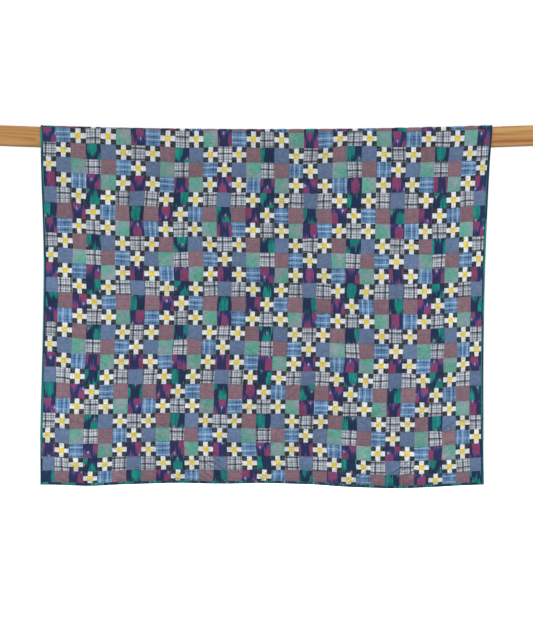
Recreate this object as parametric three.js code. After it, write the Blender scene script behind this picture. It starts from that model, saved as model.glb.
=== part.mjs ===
// A patchwork quilt hung over a timber rail, its front fall about twice as long as its back fall.
// Millimetres, +Z up, the long fall facing -Y. The origin is at mid-span, on the straight line
// between the centres of the rail's two end faces.
import * as THREE from "three";

// Rail: a sawn board on edge with eased edges, sagging under its own weight and the quilt's.
const RAIL_LENGTH = 2438;
const RAIL_DEPTH = 38;
const RAIL_HEIGHT = 89;
const RAIL_EASE = 3.2;
const RAIL_EASE_STEPS = 2;
const RAIL_SAG = 25;
const RAIL_STEPS = 24;

// Quilt: columns and rows of patches, counted from the left edge and from the front hem.
const COLUMNS = 31;
const ROWS = 37;
const FRONT_ROWS = 24;
const COLUMN_PITCH = 63.8;
const ROW_PITCH = 66;
const SHEET = 3.2;
const PUFF = 2.2;

// Binding: a strip folded round the raw edge, mitred at the corners.
const BINDING_WIDTH = 11.5;
const BINDING_CLOTH = 1.2;
const MARGIN = 13;

// Clearances: between pieces that touch, and between the draped binding and the rail's front and back.
const GAP = 0.3;
const FACE_GAP = 2.3;
const UNDER_BEND = 3;

// Front fall: where every sixth column of patches hangs on the seam under the rail's top edge, on four
// rows of blocks and on the hem. x runs across from mid-span and z up from the origin.
const KEY_COLUMNS = [0.5, 6.5, 12.5, 18.5, 24.5, 30.5];
const FRONT_FALL = [
  { row: 0.0, x: [-975, -594, -211, 172, 558, 936], z: [-1558, -1555, -1553, -1556, -1572, -1559] },
  { row: 3.5, x: [-974, -591, -209, 175, 560, 934], z: [-1338, -1337, -1337, -1341, -1355, -1344] },
  { row: 9.5, x: [-964, -580, -194, 186, 574, 935], z: [-931, -944, -947, -957, -966, -954] },
  { row: 15.5, x: [-959, -576, -186, 193, 580, 943], z: [-534, -551, -556, -562, -565, -552] },
  { row: 21.5, x: [-969, -571, -186, 196, 586, 960], z: [-130, -148, -156, -164, -158, -148] },
  { row: 24.0, x: [-971, -571, -186, 197, 590, 972], z: [30, 19, 11, 4, 9, 19] },
];

// Hem scallops: how far the front hem hangs below or above the curve of the table above.
const HEM_SCALLOPS = [
  { column: 3.5, spread: 1.6, rise: -5 },
  { column: 9.5, spread: 1.8, rise: 3 },
  { column: 15.5, spread: 1.8, rise: 4 },
  { column: 21.0, spread: 1.5, rise: -3 },
];
const SCALLOP_ROWS = 3;

// Soft folds: each is a rounded ridge (out) or trough (-out) that deepens from the rail to the hem.
const FRONT_FOLDS = [
  { column: 0.0, spread: 1.6, out: -6 },
  { column: 3.6, spread: 2.2, out: 9 },
  { column: 9.0, spread: 2.6, out: -8 },
  { column: 14.5, spread: 2.8, out: 7 },
  { column: 19.6, spread: 2.4, out: -9 },
  { column: 24.6, spread: 2.4, out: 11 },
  { column: 29.8, spread: 1.7, out: -7 },
];
const BACK_FOLDS = [
  { column: 2.0, spread: 2.0, out: 6 },
  { column: 8.5, spread: 2.8, out: -5 },
  { column: 16.0, spread: 3.2, out: 7 },
  { column: 23.0, spread: 2.6, out: -6 },
  { column: 29.0, spread: 2.0, out: 6 },
];
const FOLD_GROWTH = 1.3;

// Back fall: how much narrower it hangs than the quilt on the rail, and how far down it is drawn in.
const BACK_PINCH = 0.035;
const PINCH_DROP = 500;

// Worked out from the sizes above.
const UNDER_HALF = SHEET / 2 + GAP;
const OUTER_HALF = UNDER_HALF + BINDING_CLOTH;
const MID_BEND = UNDER_BEND + OUTER_HALF;
const BEND_Y = RAIL_DEPTH / 2 + FACE_GAP - UNDER_BEND;
const BEND_DROP = UNDER_BEND - GAP;
const FALL_Y = BEND_Y + MID_BEND;
const BEND_ARC = (MID_BEND * Math.PI) / 2;
const FRONT_LENGTH = 1560;
const BACK_LENGTH = (ROWS - FRONT_ROWS) * ROW_PITCH;

// Height of the rail's middle line at a distance x from mid-span: a shallow parabola.
function railLine(x) {
  const share = (2 * x) / RAIL_LENGTH;
  return -RAIL_SAG * (1 - share * share);
}

// A smooth curve through values at ascending knots, carried on straight past both ends.
function curve(knots, values, at) {
  const last = knots.length - 1;
  const slope = (i) => {
    const before = Math.max(i - 1, 0);
    const after = Math.min(i + 1, last);
    return (values[after] - values[before]) / (knots[after] - knots[before]);
  };
  if (at <= knots[0]) return values[0] + slope(0) * (at - knots[0]);
  if (at >= knots[last]) return values[last] + slope(last) * (at - knots[last]);
  let i = 0;
  while (at > knots[i + 1]) i += 1;
  const span = knots[i + 1] - knots[i];
  const t = (at - knots[i]) / span;
  const rise = values[i + 1] - values[i];
  const inSlope = slope(i) * span;
  const outSlope = slope(i + 1) * span;
  return (
    values[i] +
    inSlope * t +
    (3 * rise - 2 * inSlope - outSlope) * t * t +
    (inSlope + outSlope - 2 * rise) * t * t * t
  );
}

// The sum of rounded ridges across the quilt, each one a bell of its own spread and height.
function ridges(table, height, column) {
  let sum = 0;
  for (const ridge of table) {
    const away = (column - ridge.column) / ridge.spread;
    sum += ridge[height] * Math.exp(-away * away);
  }
  return sum;
}

const FALL_ROWS = FRONT_FALL.map((line) => line.row);

// A point of the front fall's middle surface, from the table, the scallops and the folds.
function frontPoint(column, row) {
  const across = FRONT_FALL.map((line) => curve(KEY_COLUMNS, line.x, column));
  const heights = FRONT_FALL.map((line) => curve(KEY_COLUMNS, line.z, column));
  const nearHem = Math.max(0, 1 - row / SCALLOP_ROWS) ** 2;
  const x = curve(FALL_ROWS, across, row);
  const z = curve(FALL_ROWS, heights, row) + nearHem * ridges(HEM_SCALLOPS, "rise", column);
  const drop = Math.max(0, heights[heights.length - 1] - z) / FRONT_LENGTH;
  const y = -FALL_Y - ridges(FRONT_FOLDS, "out", column) * drop ** FOLD_GROWTH;
  return new THREE.Vector3(x, y, z);
}

// A point of the quilt's middle surface: up the front fall, round the rail's two top edges, down the back.
function drape(column, row) {
  if (row <= FRONT_ROWS) return frontPoint(column, row);
  const seam = frontPoint(column, FRONT_ROWS);
  const bendZ = railLine(seam.x) + RAIL_HEIGHT / 2 - BEND_DROP;
  const top = 2 * BEND_Y;
  let along = (row - FRONT_ROWS) * ROW_PITCH - (bendZ - seam.z);
  if (along <= 0) return new THREE.Vector3(seam.x, -FALL_Y, bendZ + along);
  if (along <= BEND_ARC) {
    const turn = along / MID_BEND;
    const y = -BEND_Y - MID_BEND * Math.cos(turn);
    return new THREE.Vector3(seam.x, y, bendZ + MID_BEND * Math.sin(turn));
  }
  along -= BEND_ARC;
  if (along <= top) return new THREE.Vector3(seam.x, along - BEND_Y, bendZ + MID_BEND);
  along -= top;
  if (along <= BEND_ARC) {
    const turn = along / MID_BEND;
    const y = BEND_Y + MID_BEND * Math.sin(turn);
    return new THREE.Vector3(seam.x, y, bendZ + MID_BEND * Math.cos(turn));
  }
  along -= BEND_ARC;
  const x = seam.x * (1 - BACK_PINCH * THREE.MathUtils.smoothstep(along, 0, PINCH_DROP));
  const y = FALL_Y + ridges(BACK_FOLDS, "out", column) * (along / BACK_LENGTH) ** FOLD_GROWTH;
  return new THREE.Vector3(x, y, bendZ - along);
}

// The direction from the backing to the patchwork face at a point of the quilt.
const NORMAL_STEP = 0.02;
function outward(column, row) {
  const right = drape(column + NORMAL_STEP, row).sub(drape(column - NORMAL_STEP, row));
  const up = drape(column, row + NORMAL_STEP).sub(drape(column, row - NORMAL_STEP));
  return right.cross(up).normalize();
}

// A point at a height above (or, if negative, below) the quilt's middle surface.
function raised(column, row, height) {
  return drape(column, row).addScaledVector(outward(column, row), height);
}

// A closed geometry from points and triangles, turned right side out.
function closed(points, triangles) {
  let volume = 0;
  for (const [a, b, c] of triangles) {
    volume += points[a].dot(new THREE.Vector3().crossVectors(points[b], points[c]));
  }
  const facing = volume > 0 ? triangles : triangles.map(([a, b, c]) => [a, c, b]);
  const geometry = new THREE.BufferGeometry().setFromPoints(points);
  geometry.setIndex(facing.flat());
  geometry.computeVertexNormals();
  return geometry;
}

// A section carried along stations: ringAt(station) gives its points, contour their flat outline.
function carried(stations, contour, ringAt) {
  const size = contour.length;
  const points = stations.flatMap((station, index) => ringAt(station, index));
  const triangles = [];
  for (let s = 0; s + 1 < stations.length; s += 1) {
    for (let k = 0; k < size; k += 1) {
      const a = s * size + k;
      const b = s * size + ((k + 1) % size);
      triangles.push([a, b, b + size], [a, b + size, a + size]);
    }
  }
  const end = (stations.length - 1) * size;
  for (const [a, b, c] of THREE.ShapeUtils.triangulateShape(contour, [])) {
    triangles.push([a, c, b], [end + a, end + b, end + c]);
  }
  return closed(points, triangles);
}

// The rail's section: a board on edge with every edge eased by an arc.
function railSection() {
  const section = [];
  const y = RAIL_DEPTH / 2 - RAIL_EASE;
  const z = RAIL_HEIGHT / 2 - RAIL_EASE;
  const corners = [
    { y: y, z: z },
    { y: -y, z: z },
    { y: -y, z: -z },
    { y: y, z: -z },
  ];
  corners.forEach((corner, index) => {
    for (let step = 0; step <= RAIL_EASE_STEPS; step += 1) {
      const turn = ((index + step / RAIL_EASE_STEPS) * Math.PI) / 2;
      section.push(
        new THREE.Vector2(corner.y + RAIL_EASE * Math.cos(turn), corner.z + RAIL_EASE * Math.sin(turn)),
      );
    }
  });
  return section;
}

function railGeometry() {
  const section = railSection();
  const stations = Array.from({ length: RAIL_STEPS + 1 }, (_, i) => (i / RAIL_STEPS - 0.5) * RAIL_LENGTH);
  return carried(stations, section, (x) =>
    section.map((corner) => new THREE.Vector3(x, corner.x, corner.y + railLine(x))),
  );
}

// Whole numbers from first to last.
function counted(first, last) {
  return Array.from({ length: last - first + 1 }, (_, i) => first + i);
}

// Lines of the quilt's grid: every seam, a margin under each binding, and close steps round the rail's edges.
const BEND_STEP = 3;
const FRONT_BEND = { first: 1, last: 8 };
const BACK_BEND = { first: 16, last: 23 };
const bendLines = [FRONT_BEND, BACK_BEND].flatMap((bend) =>
  counted(bend.first, bend.last).map((step) => FRONT_ROWS + (step * BEND_STEP) / ROW_PITCH),
);
const columnLines = [
  0,
  MARGIN / COLUMN_PITCH,
  ...counted(1, COLUMNS - 1),
  COLUMNS - MARGIN / COLUMN_PITCH,
  COLUMNS,
];
const rowLines = [
  0,
  MARGIN / ROW_PITCH,
  ...counted(1, FRONT_ROWS),
  ...bendLines,
  ...counted(FRONT_ROWS + 2, ROWS - 1),
  ROWS - MARGIN / ROW_PITCH,
  ROWS,
];

// Only whole patches away from the rail's top are puffed: a patch is at least this share of a row tall.
const PUFFED_SHARE = 0.7;

// The quilt's sheet: a patchwork face with each patch puffed to a low point, and a smooth backing.
function quiltGeometry() {
  const across = columnLines.length;
  const faceSize = across * rowLines.length;
  const grid = (height) =>
    rowLines.flatMap((row) => columnLines.map((column) => raised(column, row, height)));
  const points = [...grid(SHEET / 2), ...grid(-SHEET / 2)];
  const triangles = [];
  const quad = (a, b, c, d) => triangles.push([a, b, c], [a, c, d]);
  for (let j = 0; j + 1 < rowLines.length; j += 1) {
    for (let i = 0; i + 1 < across; i += 1) {
      const a = j * across + i;
      const ring = [a, a + 1, a + 1 + across, a + across];
      const width = columnLines[i + 1] - columnLines[i];
      const height = rowLines[j + 1] - rowLines[j];
      if (Math.min(width, height) > PUFFED_SHARE) {
        const column = columnLines[i] + width / 2;
        const row = rowLines[j] + height / 2;
        const peak = points.push(raised(column, row, SHEET / 2 + PUFF)) - 1;
        ring.forEach((corner, k) => triangles.push([corner, ring[(k + 1) % ring.length], peak]));
      } else {
        quad(...ring);
      }
      quad(...ring.map((corner) => corner + faceSize).reverse());
    }
  }
  const rim = [
    ...columnLines.map((_, i) => i),
    ...rowLines.slice(1).map((_, j) => (j + 2) * across - 1),
    ...columnLines.slice(1).map((_, i) => faceSize - 2 - i),
    ...rowLines.slice(1, -1).map((_, j) => faceSize - (j + 2) * across),
  ];
  rim.forEach((a, k) => {
    const b = rim[(k + 1) % rim.length];
    quad(a, a + faceSize, b + faceSize, b);
  });
  return closed(points, triangles);
}

// The binding's section round a raw edge: in is the distance from the edge into the quilt.
const bindingSection = [
  { in: BINDING_WIDTH, height: OUTER_HALF },
  { in: -GAP - BINDING_CLOTH, height: OUTER_HALF },
  { in: -GAP - BINDING_CLOTH, height: -OUTER_HALF },
  { in: BINDING_WIDTH, height: -OUTER_HALF },
  { in: BINDING_WIDTH, height: -UNDER_HALF },
  { in: -GAP, height: -UNDER_HALF },
  { in: -GAP, height: UNDER_HALF },
  { in: BINDING_WIDTH, height: UNDER_HALF },
];

// A length of binding: place(inset, line) gives the cloth's column and row for a distance in from the
// raw edge and a line along it. Both ends are cut on the diagonal of the corner, for the mitre.
function bindingGeometry(lines, pitch, place) {
  const contour = bindingSection.map((corner) => new THREE.Vector2(corner.in, corner.height));
  const end = lines[lines.length - 1];
  return carried(lines, contour, (line, index) =>
    bindingSection.map((corner) => {
      const mitre = (corner.in + GAP) / pitch;
      const cut = index === 0 ? mitre : index === lines.length - 1 ? end - mitre : line;
      const [column, row] = place(corner.in, cut);
      return raised(column, row, corner.height);
    }),
  );
}

function sideBinding(columnAt) {
  return bindingGeometry(rowLines, ROW_PITCH, (inset, line) => [columnAt(inset / COLUMN_PITCH), line]);
}

function hemBinding(rowAt) {
  return bindingGeometry(columnLines, COLUMN_PITCH, (inset, line) => [line, rowAt(inset / ROW_PITCH)]);
}

// Finishes: the quilt's mixed cottons, its dark green and navy binding, and honey-coloured softwood.
const QUILT_FINISH = { color: 0x7f8a92, roughness: 0.9, metalness: 0 };
const BINDING_FINISH = { color: 0x1f4a54, roughness: 0.88, metalness: 0 };
const RAIL_FINISH = { color: 0xb78756, roughness: 0.65, metalness: 0 };

function piece(name, geometry, finish) {
  const mesh = new THREE.Mesh(geometry, new THREE.MeshStandardMaterial(finish));
  mesh.name = name;
  return mesh;
}

const quiltOnRail = new THREE.Group();
quiltOnRail.add(
  piece("rail", railGeometry(), RAIL_FINISH),
  piece("quilt", quiltGeometry(), QUILT_FINISH),
  piece("binding_left", sideBinding((inset) => inset), BINDING_FINISH),
  piece("binding_right", sideBinding((inset) => COLUMNS - inset), BINDING_FINISH),
  piece("binding_front_hem", hemBinding((inset) => inset), BINDING_FINISH),
  piece("binding_back_hem", hemBinding((inset) => ROWS - inset), BINDING_FINISH),
);

export default quiltOnRail;
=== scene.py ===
import math

import bpy
import numpy as np
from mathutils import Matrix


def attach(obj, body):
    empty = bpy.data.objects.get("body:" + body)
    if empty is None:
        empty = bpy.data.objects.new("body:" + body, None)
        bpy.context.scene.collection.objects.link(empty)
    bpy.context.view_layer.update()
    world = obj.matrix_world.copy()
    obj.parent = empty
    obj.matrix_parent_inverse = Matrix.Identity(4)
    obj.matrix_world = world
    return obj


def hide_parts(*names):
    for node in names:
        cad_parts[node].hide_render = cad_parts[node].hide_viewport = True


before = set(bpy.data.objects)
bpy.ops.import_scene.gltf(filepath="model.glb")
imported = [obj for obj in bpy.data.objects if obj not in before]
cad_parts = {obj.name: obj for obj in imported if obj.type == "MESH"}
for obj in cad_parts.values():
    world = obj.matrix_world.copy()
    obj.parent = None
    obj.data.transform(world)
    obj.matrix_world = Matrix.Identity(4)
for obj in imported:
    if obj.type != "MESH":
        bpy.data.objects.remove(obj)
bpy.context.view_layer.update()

# Rail: one planed softwood board on edge, bowed a little by its load, eased along its edges and cut plumb at
# both ends. It is carried at its ends and the quilt hangs over it. Its solid is already the right shape, so
# it only gets its timber here: growth rings round a pith behind the board, sapwood, resin and long fibres.

MM = 0.001
RAIL_LENGTH = 2438 * MM
RAIL_DEPTH = 38 * MM
RAIL_HEIGHT = 89 * MM
RAIL_SAG = 25 * MM

# Where the pith, the sapwood, the resin and the painted shade on the lower edge lie, and how far each
# wanders.
PITH_Y = 115 * MM
PITH_Z = -30 * MM
RING_WIDTH = 4.5 * MM
RING_WANDER = 30 * MM
SAP_SLOPE = 0.027
SAP_HALF = 14 * MM
SAP_WANDER = 30 * MM
RESIN_Z = -25 * MM
RESIN_HALF = 14 * MM
RESIN_WANDER = 22 * MM
RESIN_START = 0.85
RESIN_FADE = 0.2
PAINTED_SHADE_BAND = 6 * MM

# Streaks in the wood, as lumps to the metre along the board and across it, and the depth of its grain.
RING_STREAKS = (1.3, 11.0)
FIBRES = (9.0, 420.0)
FLECKS = (1.6, 46.0)
WANDER_STREAKS = (2.2, 12.0)
GRAIN_RELIEF = 0.2 * MM


def srgb(red, green, blue):
    """A colour from 0 to 255 as a shader reads it: each channel's sRGB curve undone."""
    shares = np.array([red, green, blue]) / 255
    linear = np.where(shares <= 0.04045, shares / 12.92, ((shares + 0.055) / 1.055) ** 2.4)
    return (*linear.tolist(), 1.0)


class Finish:
    """A material in the making: a principled shader, and short ways to add the nodes that feed it."""

    def __init__(self, name, roughness, sheen=0.0):
        self.material = bpy.data.materials.new(name)
        self.material.use_nodes = True
        self.nodes = self.material.node_tree.nodes
        self.links = self.material.node_tree.links
        self.give("Roughness", roughness)
        self.give("Sheen Weight", sheen)
        self.give("Sheen Roughness", 0.55)
        self.give("Specular IOR Level", 0.25)

    def feed(self, socket, value):
        """A number or colour is set on the socket itself, and an output is linked to it."""
        if isinstance(value, bpy.types.NodeSocket):
            self.links.new(value, socket)
        else:
            socket.default_value = value

    def give(self, name, value):
        """Feeds one of the shader's own sockets."""
        self.feed(self.nodes["Principled BSDF"].inputs[name], value)

    def add(self, kind, *values):
        """A new node, its first sockets fed in turn."""
        node = self.nodes.new(kind)
        for socket, value in zip(node.inputs, values):
            self.feed(socket, value)
        return node

    def calc(self, how, *values):
        """One Math node on numbers or outputs."""
        node = self.add("ShaderNodeMath", *values)
        node.operation = how
        return node.outputs[0]

    def plus(self, first, second):
        """Their sum."""
        return self.calc("ADD", first, second)

    def less(self, first, second):
        """The first less the second."""
        return self.calc("SUBTRACT", first, second)

    def times(self, first, second):
        """Their product."""
        return self.calc("MULTIPLY", first, second)

    def added(self, base, value, share):
        """A base plus a share of a value."""
        return self.calc("MULTIPLY_ADD", value, share, base)

    def repeated(self, length, repeat):
        """How far through its repeat a length is, from 0 to 1: the fraction left by their division."""
        return self.calc("FRACT", self.calc("DIVIDE", length, repeat))

    def mix(self, share, first, second, how="MIX"):
        """Two colours blended by a share from 0 to 1."""
        node = self.add("ShaderNodeMix", share)
        node.data_type = "RGBA"
        node.blend_type = how
        self.feed(node.inputs[6], first)
        self.feed(node.inputs[7], second)
        return node.outputs[2]

    def ramp(self, position, stops, steps="LINEAR"):
        """Colours placed along 0 to 1, either run into each other or kept as hard steps."""
        node = self.add("ShaderNodeValToRGB", position)
        node.color_ramp.interpolation = steps
        while len(node.color_ramp.elements) < len(stops):
            node.color_ramp.elements.new(1.0)
        for element, (place, colour) in zip(node.color_ramp.elements, stops):
            element.position = place
            element.color = colour
        return node.outputs[0]

    def spread(self, value, low, high, to_low=0.0, to_high=1.0):
        """A value eased from one range to another and held at both ends."""
        node = self.add("ShaderNodeMapRange", value, low, high, to_low, to_high)
        node.interpolation_type = "SMOOTHSTEP"
        return node.outputs[0]

    def point(self, x, y, z=0.0):
        """Three numbers or outputs as one vector."""
        return self.add("ShaderNodeCombineXYZ", x, y, z).outputs[0]

    def split(self, vector):
        """The three parts of a vector."""
        return tuple(self.add("ShaderNodeSeparateXYZ", vector).outputs)

    def place(self):
        """The object's own coordinates, in metres."""
        return self.add("ShaderNodeTexCoord").outputs["Object"]

    def noise(self, vector, detail=2.0, scale=1.0):
        """Soft noise from 0 to 1, with so many lumps to each unit of the vector."""
        node = self.add("ShaderNodeTexNoise", vector)
        node.inputs["Scale"].default_value = scale
        node.inputs["Detail"].default_value = detail
        return node.outputs[0]

    def bump(self, height, depth):
        """A relief of that depth in metres for the shader's normal."""
        node = self.add("ShaderNodeBump")
        node.inputs["Strength"].default_value = 1.0
        node.inputs["Distance"].default_value = depth
        self.feed(node.inputs["Height"], height)
        self.give("Normal", node.outputs[0])


def rail_timber():
    """Softwood: rings of pale early wood and darker late wood round the pith, a pale band of sapwood that
    runs askew, a resin streak low at one end, long fine fibres, and painted shade darkening the lower edge.
    The grain follows the bow, because heights are counted from the bowed middle line."""
    wood = Finish("rail_timber", roughness=0.6)
    x, y, level = wood.split(wood.place())
    outward = wood.calc("POWER", wood.times(x, 2 / RAIL_LENGTH), 2.0)
    z = wood.added(level, wood.less(1.0, outward), RAIL_SAG)

    def streaks(along, across, detail=2.0):
        """Noise drawn out along the board: so many lumps to the metre along it and across it."""
        lumps = wood.point(wood.times(x, along), wood.times(y, across), wood.times(z, across))
        return wood.noise(lumps, detail)

    away_y = wood.calc("POWER", wood.less(y, PITH_Y), 2.0)
    away_z = wood.calc("POWER", wood.less(z, PITH_Z), 2.0)
    reach = wood.calc("SQRT", wood.plus(away_y, away_z))
    ring = wood.repeated(wood.added(reach, streaks(*RING_STREAKS), RING_WANDER), RING_WIDTH)
    growth = [
        (0.0, srgb(203, 154, 96)),
        (0.5, srgb(197, 147, 89)),
        (0.82, srgb(182, 131, 76)),
        (0.94, srgb(176, 124, 71)),
        (1.0, srgb(201, 152, 95)),
    ]
    timber = wood.ramp(ring, growth)
    fibre = streaks(*FIBRES, detail=3.0)
    timber = wood.mix(wood.spread(fibre, 0.4, 0.72, to_high=0.3), timber, srgb(164, 112, 62))
    flecks = wood.spread(streaks(*FLECKS), 0.54, 0.72, to_high=0.65)
    timber = wood.mix(flecks, timber, srgb(162, 103, 57))
    wander = wood.less(streaks(*WANDER_STREAKS), 0.5)
    sap = wood.added(wood.added(z, wander, SAP_WANDER), x, -SAP_SLOPE)
    paleness = wood.spread(x, -1.0, 1.0, 0.2, 0.7)
    pale = wood.spread(wood.calc("ABSOLUTE", sap), SAP_HALF / 3, SAP_HALF, paleness, 0.0)
    timber = wood.mix(pale, timber, srgb(213, 172, 112))
    resin = wood.less(wood.added(z, wander, RESIN_WANDER), RESIN_Z)
    dark = wood.spread(wood.calc("ABSOLUTE", resin), 0.0, RESIN_HALF, 0.85, 0.0)
    dark = wood.times(dark, wood.spread(x, RESIN_START, RESIN_START + RESIN_FADE))
    timber = wood.mix(dark, timber, srgb(150, 91, 47))
    # Painted shade: the lowest few millimetres of the board are darkened, standing in for the shade under
    # its lower edge.
    edge = wood.spread(z, -RAIL_HEIGHT / 2, -RAIL_HEIGHT / 2 + PAINTED_SHADE_BAND, 0.62, 0.0)
    timber = wood.mix(edge, timber, srgb(104, 84, 50))
    wood.give("Base Color", timber)
    wood.give("Roughness", wood.spread(fibre, 0.2, 0.8, 0.5, 0.7))
    wood.bump(wood.plus(wood.times(ring, -0.3), fibre), GRAIN_RELIEF)
    return wood.material


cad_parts["rail"].material_slots[0].material = rail_timber()

# Quilt: cotton squares pieced in rows, laid over a thin filling and a plain backing, and quilted along
# every seam, so each patch stands up as a low cushion. It hangs over the rail by its own weight, with
# the long fall in front, a little drawn in at the sides and lower towards one corner of the hem.

COLUMNS = 31
ROWS = 37
FRONT_ROWS = 24
COLUMN_PITCH = 63.8 * MM
ROW_PITCH = 66 * MM

# The sheet, its cushions, whole and small on a nine-patch, its puckers and the errors of its seams.
SHEET = 3.2 * MM
PUFF = 2.2 * MM
BACK_PUFF = 1.6 * MM
NINE_WHOLE = 0.55
NINE_SMALL = 0.35
SETTLED = 0.74
CRINKLE = 0.55 * MM
CRINKLE_LENGTHS = (34 * MM, 90 * MM)
CRINKLE_LEAST = 0.4
SEAM_ERROR = 1.5 * MM
SEAM_WOBBLE = 0.8 * MM
WOBBLE_APART = (7.3, 11.9)

# The edge, pressed flat under the binding, held in line and stiffened by it, and the binding's own sizes.
FLAT_EDGE = 14 * MM
EDGE_RISE = 6 * MM
HELD_EDGE = 80 * MM
STIFF_EDGE = 60 * MM
STIFF_SHARE = 0.35
BINDING_WIDTH = 11.5 * MM
BINDING_CLOTH = 1.2 * MM
SEWN_GAP = 0.3 * MM
OUTER_HALF = SHEET / 2 + SEWN_GAP + BINDING_CLOTH

# The way over the rail and down behind it.
FACE_GAP = 2.3 * MM
UNDER_BEND = 3 * MM
MID_BEND = UNDER_BEND + OUTER_HALF
BEND_Y = RAIL_DEPTH / 2 + FACE_GAP - UNDER_BEND
BEND_DROP = UNDER_BEND - SEWN_GAP
FALL_Y = BEND_Y + MID_BEND
BEND_ARC = MID_BEND * math.pi / 2
FRONT_LENGTH = 1560 * MM
BACK_LENGTH = (ROWS - FRONT_ROWS) * ROW_PITCH
BACK_PINCH = 0.035
PINCH_DROP = 500 * MM
FOLD_GROWTH = 1.3
SCALLOP_ROWS = 3

# The front fall: row, then where every sixth column hangs across (x) and up (z), in millimetres.
KEY_COLUMNS = np.array([0.5, 6.5, 12.5, 18.5, 24.5, 30.5])
FRONT_FALL = [
    (0.0, (-975, -594, -211, 172, 558, 936), (-1558, -1555, -1553, -1556, -1572, -1559)),
    (3.5, (-974, -591, -209, 175, 560, 934), (-1338, -1337, -1337, -1341, -1355, -1344)),
    (9.5, (-964, -580, -194, 186, 574, 935), (-931, -944, -947, -957, -966, -954)),
    (15.5, (-959, -576, -186, 193, 580, 943), (-534, -551, -556, -562, -565, -552)),
    (21.5, (-969, -571, -186, 196, 586, 960), (-130, -148, -156, -164, -158, -148)),
    (24.0, (-971, -571, -186, 197, 590, 972), (30, 19, 11, 4, 9, 19)),
]
# Rounded ridges across the quilt: column, spread in columns, height in millimetres.
HEM_SCALLOPS = [(3.5, 1.6, -5), (9.5, 1.8, 3), (15.5, 1.8, 4), (21.0, 1.5, -3)]
FRONT_FOLDS = [
    (0.0, 1.6, -6), (3.6, 2.2, 9), (9.0, 2.6, -8), (14.5, 2.8, 7),
    (19.6, 2.4, -9), (24.6, 2.4, 11), (29.8, 1.7, -7),
]
BACK_FOLDS = [(2.0, 2.0, 6), (8.5, 2.8, -5), (16.0, 3.2, 7), (23.0, 2.6, -6), (29.0, 2.0, 6)]

# Soft creases in the hanging cloth: column and row of the middle, turn from level in degrees, then half
# length, half width and height in millimetres, minus for a trough.
CREASES = [
    (22.2, 10.0, 88, 420, 34, -13),
    (14.6, 18.0, 92, 290, 36, -12),
    (9.3, 18.0, 84, 260, 34, -9),
    (9.4, 3.6, 97, 200, 32, -8),
    (15.2, 1.2, 90, 120, 30, -8),
    (29.0, 1.3, 38, 130, 13, 3.5),
    (28.2, 2.6, 31, 150, 14, -3),
    (27.0, 0.9, 146, 90, 12, 2.5),
    (29.7, 5.2, 52, 120, 13, 2.5),
    (2.2, 1.6, 140, 120, 14, 3),
    (3.4, 3.0, 148, 140, 14, -2.5),
    (1.4, 14.0, 100, 200, 18, 2.5),
    (18.0, 7.4, 20, 170, 16, 2),
    (5.6, 8.8, 164, 180, 16, 2),
    (25.6, 17.2, 158, 170, 15, 2),
    (21.0, 20.6, 78, 130, 26, -6),
    (12.0, 30.5, 75, 200, 18, 3),
    (24.4, 32.0, 108, 220, 18, -3),
]

# Where the pieced seams are drawn aside from the even fall: column and row of the middle, spread in columns
# and in rows, then how far to the right and down, in millimetres.
PULLS = [
    (9.5, 0.7, 3.0, 2.2, 8, 0),
    (15.5, 0.7, 3.0, 2.2, 8, 0),
    (27.5, 1.4, 2.2, 2.0, 4, 7),
    (23.0, 1.5, 2.0, 1.6, 0, 5),
    (3.5, 6.0, 2.0, 8.0, 1, 7),
    (27.5, 9.5, 2.0, 6.0, 4, 1),
    (8.0, 12.3, 6.0, 2.2, 5, 0),
    (22.6, 14.0, 2.0, 2.6, -6, 0),
    (27.5, 17.0, 2.2, 3.5, 2, 6),
    (8.5, 18.5, 7.0, 1.6, -5, 0),
    (4.5, 19.5, 3.0, 4.0, 0, 3),
    (9.5, 22.6, 2.2, 3.0, 2, 6),
    (21.5, 22.8, 1.8, 2.2, 0, -9),
    (27.5, 23.4, 2.4, 2.0, 6, 3),
    (16.0, 24.0, 26.0, 0.8, 0, -5.5),
]


def through(knots, values, at):
    """A smooth curve through values at rising knots: a cubic between each two, with the slope of their
    neighbours at each knot, and straight past both ends. values has one row for each knot."""
    count = len(knots)
    values = np.broadcast_to(np.asarray(values, float).reshape(count, -1), (count, at.size))
    before = np.maximum(np.arange(count) - 1, 0)
    after = np.minimum(np.arange(count) + 1, count - 1)
    slopes = (values[after] - values[before]) / (knots[after] - knots[before])[:, None]
    held = np.clip(at, knots[0], knots[-1])
    left = np.clip(np.searchsorted(knots, held, side="right") - 1, 0, count - 2)
    each = np.arange(at.size)
    span = knots[left + 1] - knots[left]
    t = (held - knots[left]) / span
    start = values[left, each]
    rise = values[left + 1, each] - start
    slope_in = slopes[left, each] * span
    slope_out = slopes[left + 1, each] * span
    bend = slope_in + slope_out - 2 * rise
    curve = start + t * (slope_in + t * (rise - slope_in - bend + t * bend))
    return curve + np.where(at < knots[0], slopes[0], slopes[-1]) * (at - held)


def eased(t):
    """A smooth rise from 0 to 1, held at both ends: three times the square less twice the cube."""
    t = np.clip(t, 0, 1)
    return t**2 * (3 - 2 * t)


def ridges(table, column):
    """The sum of bell-shaped ridges across the quilt."""
    return sum(height * MM * np.exp(-(((column - middle) / width) ** 2)) for middle, width, height in table)


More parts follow.
